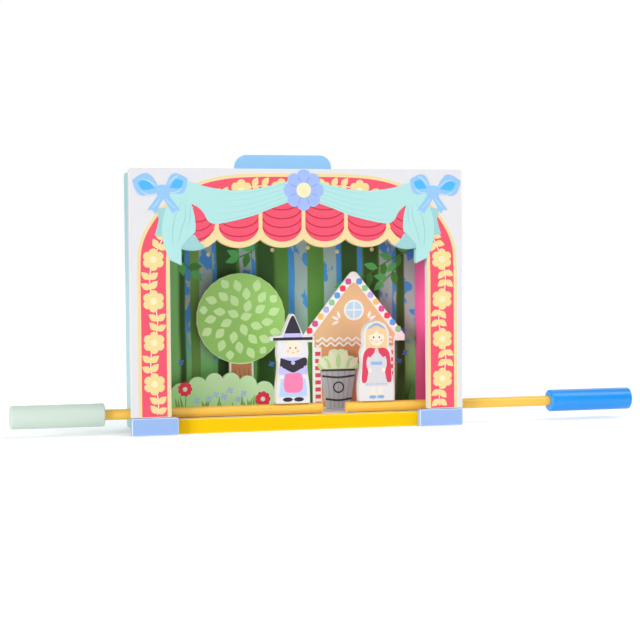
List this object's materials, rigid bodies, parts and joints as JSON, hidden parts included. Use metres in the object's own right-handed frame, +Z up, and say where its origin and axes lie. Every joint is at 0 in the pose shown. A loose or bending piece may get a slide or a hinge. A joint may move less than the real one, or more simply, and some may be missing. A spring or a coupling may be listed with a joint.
{
  "type": "puppet theater stand",
  "caption": "Tabletop puppet theatre: a wooden stage box with a scalloped front opening, lift-out backdrop, standing scenery and puppets on hand wands that slide and bow.",
  "frame": {"origin": "on the table, at the centre of the stage floor's underside", "axes": "+X to the audience's right along the wands, +Y from the audience towards the back of the stage, +Z up"},
  "size_m": [0.6104, 0.1006, 0.263],
  "materials": {
    "white_paint": "white satin paint on board, with a printed curtain border",
    "sky_paint": "pale blue satin paint",
    "teal_paint": "pale teal satin paint",
    "floor_paint": "off-white satin paint",
    "yellow_paint": "yellow satin paint",
    "backdrop_print": "printed woodland on thin board",
    "leaf_print": "printed leaves on thin board",
    "bush_print": "printed bush on thin board",
    "cottage_print": "printed cottage on thin board",
    "tub_print": "printed plant tub on thin board",
    "amber_paint": "amber lacquered dowel",
    "mint_paint": "pale mint satin paint",
    "blue_paint": "blue satin paint",
    "puppet_print": "printed figure on white board",
    "bare_wood": "bare beech"
  },
  "bodies": {
    "stage_box": {"front_board": "white_paint", "foot_left": "sky_paint", "foot_right": "sky_paint", "side_wall_left": "teal_paint", "side_wall_right": "teal_paint", "roof_board": "teal_paint", "back_board": "teal_paint", "stage_floor": "floor_paint", "front_rail": "yellow_paint", "tree_board": "leaf_print", "bush_board": "bush_print", "cottage_board": "cottage_print", "tub_board": "tub_print", "floor_pin_left_front": "bare_wood", "floor_pin_left_rear": "bare_wood", "floor_pin_right_front": "bare_wood", "floor_pin_right_rear": "bare_wood", "roof_pin_left_front": "bare_wood", "roof_pin_left_rear": "bare_wood", "roof_pin_right_front": "bare_wood", "roof_pin_right_rear": "bare_wood", "back_pin_left_low": "bare_wood", "back_pin_left_high": "bare_wood", "back_pin_right_low": "bare_wood", "back_pin_right_high": "bare_wood", "front_pin_left_low": "bare_wood", "front_pin_left_high": "bare_wood", "front_pin_right_low": "bare_wood", "front_pin_right_high": "bare_wood", "foot_pin_left": "bare_wood", "foot_pin_right": "bare_wood", "column_pin_left": "bare_wood", "column_pin_right": "bare_wood", "rail_pin_left": "bare_wood", "rail_pin_right": "bare_wood"},
    "sliding_backdrop": {"backdrop": "backdrop_print"},
    "left_handle": {"left_grip": "mint_paint"},
    "left_wand": {"left_dowel": "amber_paint", "left_peg": "bare_wood", "hat_puppet": "puppet_print"},
    "right_handle": {"right_grip": "blue_paint"},
    "right_wand": {"right_dowel": "amber_paint", "right_peg": "bare_wood", "cape_puppet": "puppet_print"}
  },
  "joints": [
    {"name": "backdrop_lift", "type": "slide", "parent": "stage_box", "child": "sliding_backdrop", "axis": [0, 0, 1], "range_m": [0, 0.22]},
    {"name": "left_wand_slide", "type": "slide", "parent": "stage_box", "child": "left_handle", "axis": [1, 0, 0], "range_m": [-0.114, 0.011]},
    {"name": "left_wand_turn", "type": "hinge", "parent": "left_handle", "child": "left_wand", "pos_m": [0, -0.03, 0.0193], "axis": [1, 0, 0], "range_deg": [-25, 4]},
    {"name": "right_wand_slide", "type": "slide", "parent": "stage_box", "child": "right_handle", "axis": [1, 0, 0], "range_m": [-0.011, 0.042]},
    {"name": "right_wand_turn", "type": "hinge", "parent": "right_handle", "child": "right_wand", "pos_m": [0, -0.03, 0.0193], "axis": [1, 0, 0], "range_deg": [-25, 4]}
  ]
}
